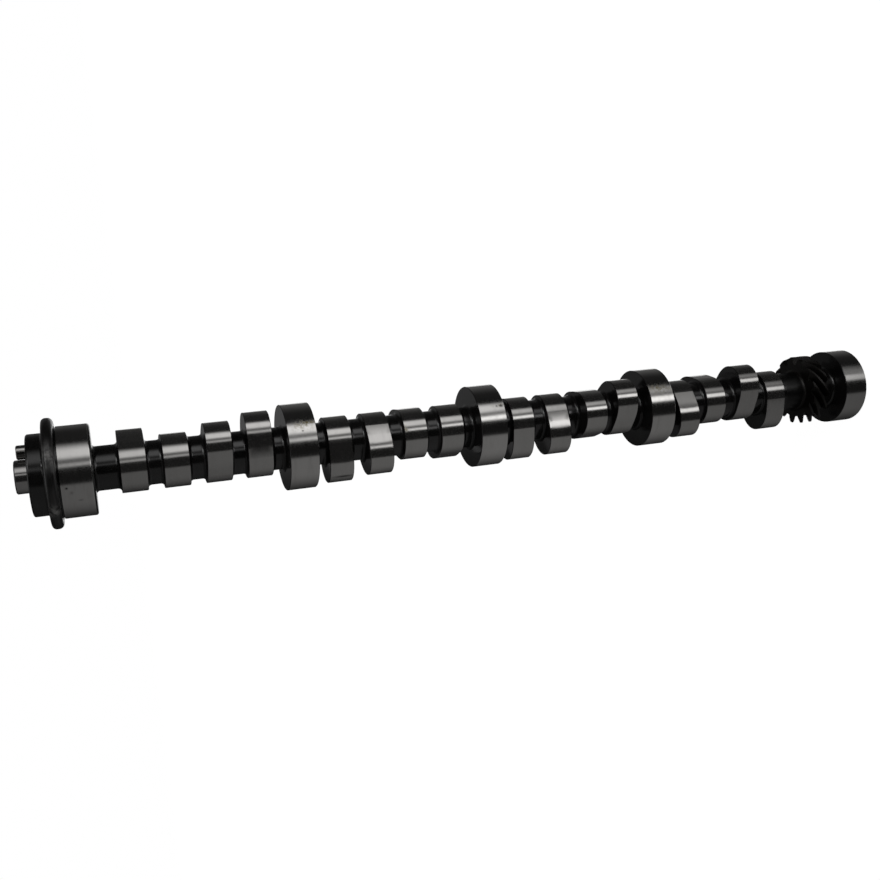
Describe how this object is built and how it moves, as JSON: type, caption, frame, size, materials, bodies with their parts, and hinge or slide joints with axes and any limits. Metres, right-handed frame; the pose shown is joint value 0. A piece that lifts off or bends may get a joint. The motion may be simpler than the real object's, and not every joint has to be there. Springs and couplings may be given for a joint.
{
  "type": "camshaft",
  "caption": "Roller-lifter camshaft with stepped journals, ground lobes, helical distributor drive gear, thrust flange and dowelled sprocket hub.",
  "frame": {"origin": "centre of the rear end face, which the shaft stands on", "axes": "+Z along the cam's axis from the rear end face up to the nose; +X towards the dowel pin"},
  "size_m": [0.062, 0.062, 0.5515],
  "materials": {
    "cam_steel": "lobes, journals and boss ground bright; the rest oiled black phosphate",
    "pin_steel": "ground"
  },
  "bodies": {
    "root": {"camshaft": "cam_steel", "dowel_pin": "pin_steel"}
  },
  "joints": []
}
